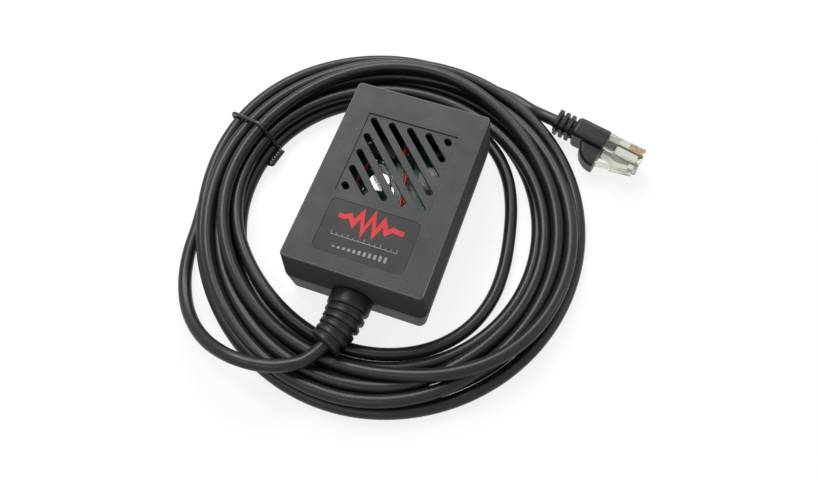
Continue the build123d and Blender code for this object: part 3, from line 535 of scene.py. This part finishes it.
# Each turn's radius at eight places, clockwise from the left, in millimetres.
places_a_turn = 8
turn_radii = (
    (69.2, 69.6, 67.5, 66.4, 65.2, 67.4, 66.7, 63.6),
    (64.4, 64.8, 62.7, 61.6, 60.5, 62.8, 61.8, 58.9),
    (59.6, 60.0, 57.9, 56.8, 55.9, 58.2, 57.0, 54.2),
    (54.9, 55.2, 53.0, 52.0, 44.8, 53.8, 52.0, 50.0),
    (57.2, 57.6, 55.4, 54.3, 58.2, 61.0, 64.4, 61.3),
    (62.0, 62.4, 60.3, 63.8, 67.6, 70.0, 59.4, 56.6),
    (59.4, 60.4, 64.6, 59.1, 62.8, 65.5, 69.2, 65.6),
    (64.4, 66.6, 69.6, 68.0, 70.0, 72.4, 71.4, 67.0),
    (66.8, 71.6, 71.0, 70.8),
)
first_radius, last_radius, last_height = 0.0694, 0.0708, 0.0024
# Where each turn comes in the pile: number of turns wound, and layers above the table.
pile = (
    (0, 0), (0.9, 0.1), (1.1, 0.6), (1.9, 0.6), (2.1, 1.2), (2.9, 1.2), (3.1, 0.3), (3.9, 0.3),
    (4.15, 2), (4.9, 3), (5.05, 4), (5.9, 6), (6.1, 5), (6.9, 4.5), (7.1, 4.5), (7.5, 3.8),
    (7.7, 1), (7.9, 1.5), (8.02, 4), (8.1, 3), (8.3, 0),
)
layer_height = 0.004
per_turn, coil_points = 24, 200
wound = np.arange(coil_points) / per_turn
turned = wound * 2 * math.pi
coil_angle = coil_start - turned
radii = np.array([radius for turn in turn_radii for radius in turn]) / 1000
lane = np.interp(wound * places_a_turn, np.arange(len(radii)), radii)
for smoothing in range(2):
    lane[1:-1] = (lane[:-2] + 2 * lane[1:-1] + lane[2:]) / 4
# Small waves keep the turns from lying as neat as on a reel.
long_wave, long_beat = 0.0007, 1.37
short_wave, short_beat, short_start = 0.0005, 2.71, 1
lane += long_wave * np.sin(long_beat * turned) + short_wave * np.sin(short_beat * turned + short_start)
lane[0], lane[-1] = first_radius, last_radius
pile_turns, pile_layers = zip(*pile)
lift = gauge / 2 + layer_height * np.interp(wound, pile_turns, pile_layers)
# The bundle lies on the tie's wire on the left, and has less room above it under the strain relief.
tie_angle, tie_room, tie_spread = math.radians(163.5), 0.0013, 0.21
from_tie = np.mod(coil_angle - tie_angle + math.pi, 2 * math.pi) - math.pi
floor_level = gauge / 2 + tie_room * np.exp(-((from_tie / tie_spread) ** 2))
boot_bearing, boot_half_bearing, room_under_boot, room_elsewhere = 265, 25, 0.0069, 0.0140
under_boot = np.abs(np.mod(np.degrees(coil_angle), 360) - boot_bearing) < boot_half_bearing
headroom = np.where(under_boot, room_under_boot, room_elsewhere)
# The turns settle: they sink, stay even along their length, and push each other apart.
settling, gentle_steps, pressing_from = 420, 60, 0.6
sinking, gentle_sinking, slack_kept, evening = 0.00012, 0.00002, 0.94, 0.2
strand_gap = 1.02 * gauge
shift = np.zeros(coil_points)
for step in range(settling):
    lift -= sinking if step < settling - gentle_steps else gentle_sinking
    shift *= slack_kept
    for row in (shift, lift):
        row[1:-1] += evening * (row[:-2] + row[2:] - 2 * row[1:-1])
    for apart in range(per_turn, coil_points, per_turn):
        inner, outer = slice(0, coil_points - apart), slice(apart, coil_points)
        across = lane[outer] + shift[outer] - lane[inner] - shift[inner]
        above = lift[outer] - lift[inner]
        distance = np.hypot(across, above) + 1e-9
        push = np.clip(strand_gap - distance, 0, None) / 2 / distance
        shift[inner] -= push * across
        lift[inner] -= push * above
        shift[outer] += push * across
        lift[outer] += push * above
    lift = np.maximum(lift, floor_level)
    if step > pressing_from * settling:
        lift = np.minimum(lift, headroom)
    shift[0] = shift[-1] = 0
    lift[0], lift[-1] = gauge / 2, last_height
coil_radius = lane + shift
coil = [
    (coil_x + r * math.cos(angle), coil_y + r * math.sin(angle), z)
    for r, angle, z in zip(coil_radius, coil_angle, lift)
]
cable = wire("cable", lead_in + coil + lead_out, gauge, jacket_black, steps=6, roundness=5)
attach(cable, "root")
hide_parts("cable_lead_in", "cable_coil", "cable_lead_out")

# Tie: a thin steel wire in black plastic, pulled once round the whole bundle at the left, so that it
# lies close on the outermost strands.
tie_black = moulded(
    "tie_black", dark=(0.011, 0.011, 0.011), light=(0.018, 0.018, 0.018),
    grain=2600, depth=0.00001, smooth=0.20, rough=0.30,
)
tie_gauge, tie_points = 0.0014, 48
tie_station = (coil_start - tie_angle) / (2 * math.pi)
bundle = [
    (float(np.interp(at, wound, coil_radius)), float(np.interp(at, wound, lift)))
    for at in tie_station + np.arange(len(turn_radii))
]
coil_middle = Vector((coil_x, coil_y, 0))
tie_out = Vector((math.cos(tie_angle), math.sin(tie_angle), 0))
tie_off = (gauge + tie_gauge) / 2
tie_way = []
for number in range(tie_points):
    lean = number * 2 * math.pi / tie_points
    reach = Vector((math.cos(lean), math.sin(lean)))
    held = max(bundle, key=lambda strand: strand[0] * reach.x + strand[1] * reach.y)
    r = held[0] + reach.x * tie_off
    z = max(held[1] + reach.y * tie_off, tie_gauge / 2)
    tie_way.append(coil_middle + tie_out * r + Vector((0, 0, z)))
tie_curve = wire("tie", tie_way, tie_gauge, tie_black, steps=3, roundness=3, closed=True)
tie_mesh = bpy.data.meshes.new_from_object(tie_curve.evaluated_get(bpy.context.evaluated_depsgraph_get()))
bpy.data.objects.remove(tie_curve)
tie_loop = bring_in("tie_loop", tie_mesh)
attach(tie_loop, "root")
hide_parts("coil_tie")

# Twisted end of the tie: the wire's two ends, wound round each other with the fingers to shut it, and
# bent along the inner side of the bundle.
twist_tree = bpy.data.node_groups.new("twisted_end", "GeometryNodeTree")
twist_sockets = twist_tree.interface
twist_length = twist_sockets.new_socket("Length", in_out="INPUT", socket_type="NodeSocketFloat")
twist_turns = twist_sockets.new_socket("Turns", in_out="INPUT", socket_type="NodeSocketFloat")
twist_wire = twist_sockets.new_socket("Wire Radius", in_out="INPUT", socket_type="NodeSocketFloat")
twist_sockets.new_socket("Twist", in_out="OUTPUT", socket_type="NodeSocketGeometry")
twist_in = twist_tree.nodes.new("NodeGroupInput").outputs
twist_helix = add_node(
    twist_tree,
    "GeometryNodeCurveSpiral",
    {
        "Resolution": 14,
        "Rotations": twist_in["Turns"],
        "Start Radius": twist_in["Wire Radius"],
        "End Radius": twist_in["Wire Radius"],
        "Height": twist_in["Length"],
    },
)
twist_round = add_node(
    twist_tree, "GeometryNodeCurvePrimitiveCircle", {"Resolution": 12, "Radius": twist_in["Wire Radius"]}
)
twist_tube = add_node(
    twist_tree,
    "GeometryNodeCurveToMesh",
    {"Curve": twist_helix.outputs[0], "Profile Curve": twist_round.outputs[0], "Fill Caps": True},
)
twist_other = add_node(
    twist_tree, "GeometryNodeTransform", {"Geometry": twist_tube.outputs[0], "Rotation": (0, 0, math.pi)}
)
twist_both = twist_tree.nodes.new("GeometryNodeJoinGeometry")
twist_tree.links.new(twist_tube.outputs[0], twist_both.inputs[0])
twist_tree.links.new(twist_other.outputs[0], twist_both.inputs[0])
twist_real = add_node(twist_tree, "GeometryNodeRealizeInstances", {0: twist_both.outputs[0]})
twist_dressed = add_node(
    twist_tree, "GeometryNodeSetMaterial", {"Geometry": twist_real.outputs[0], "Material": tie_black}
)
twist_tree.links.new(twist_dressed.outputs[0], twist_tree.nodes.new("NodeGroupOutput").inputs[0])
tie_twist = bring_in("tie_twist", bpy.data.meshes.new("tie_twist"))
twist_rule = tie_twist.modifiers.new("twist", "NODES")
twist_rule.node_group = twist_tree
twist_reach, twist_count = 0.0074, 3.0
twist_rule[twist_length.identifier] = twist_reach
twist_rule[twist_turns.identifier] = twist_count
twist_rule[twist_wire.identifier] = tie_gauge / 2
plain_mesh(tie_twist)
inner_radius, inner_height = min(bundle)
twist_start = coil_middle + tie_out * (inner_radius - gauge / 2 - tie_gauge)
twist_start.z = inner_height
twist_inward = 0.10
twist_way = Vector((-tie_out.y, tie_out.x, 0)) - tie_out * twist_inward
twist_turn = twist_way.to_track_quat("Z", "Y").to_matrix().to_4x4()
tie_twist.data.transform(Matrix.Translation(twist_start) @ twist_turn)
tie_twist.data.shade_smooth()
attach(tie_twist, "root")
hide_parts("coil_tie")

# Plug: a modular plug in clear moulded polycarbonate with gold-plated blades, crimped on the cable.
# The blades cut into eight leads in coloured insulation, which lie side by side under them.
plug_clear, tree, shader = new_material("plug_clear")
shader.inputs["Base Color"].default_value = (0.73, 0.725, 0.64, 1)
shader.inputs["Transmission Weight"].default_value = 1.0
shader.inputs["IOR"].default_value = 1.55
tree.links.new(speckle(tree, scale=260, detail=3.0, low=0.06, high=0.20), shader.inputs["Roughness"])
dress(plug_clear, "plug_body")
blade_gold = bright_metal("blade_gold", (0.80, 0.66, 0.36), scale=1800, detail=3.0, smooth=0.14, rough=0.30)
dress(blade_gold, "plug_contacts")
lead_colours, tree, shader = new_material("lead_colours")
lead_place = add_node(tree, "ShaderNodeTexCoord").outputs["Object"]
lead_height = add_node(tree, "ShaderNodeSeparateXYZ", {0: lead_place}).outputs["Z"]
lowest_lead, highest_lead = 0.00290, 0.01089
lead_shades = (
    (0.55, 0.45, 0.35), (0.55, 0.16, 0.02), (0.40, 0.50, 0.40), (0.03, 0.08, 0.30),
    (0.38, 0.44, 0.55), (0.03, 0.22, 0.07), (0.45, 0.38, 0.32), (0.14, 0.06, 0.025),
)
lead_stops = [(number / len(lead_shades), shade) for number, shade in enumerate(lead_shades)]
lead_share = spread(tree, lead_height, source=(lowest_lead, highest_lead))
tree.links.new(ramp(tree, lead_share, lead_stops, change="CONSTANT"), shader.inputs["Base Color"])
tree.links.new(speckle(tree, scale=900, detail=3.0, low=0.32, high=0.44), shader.inputs["Roughness"])
dress(lead_colours, "plug_leads")
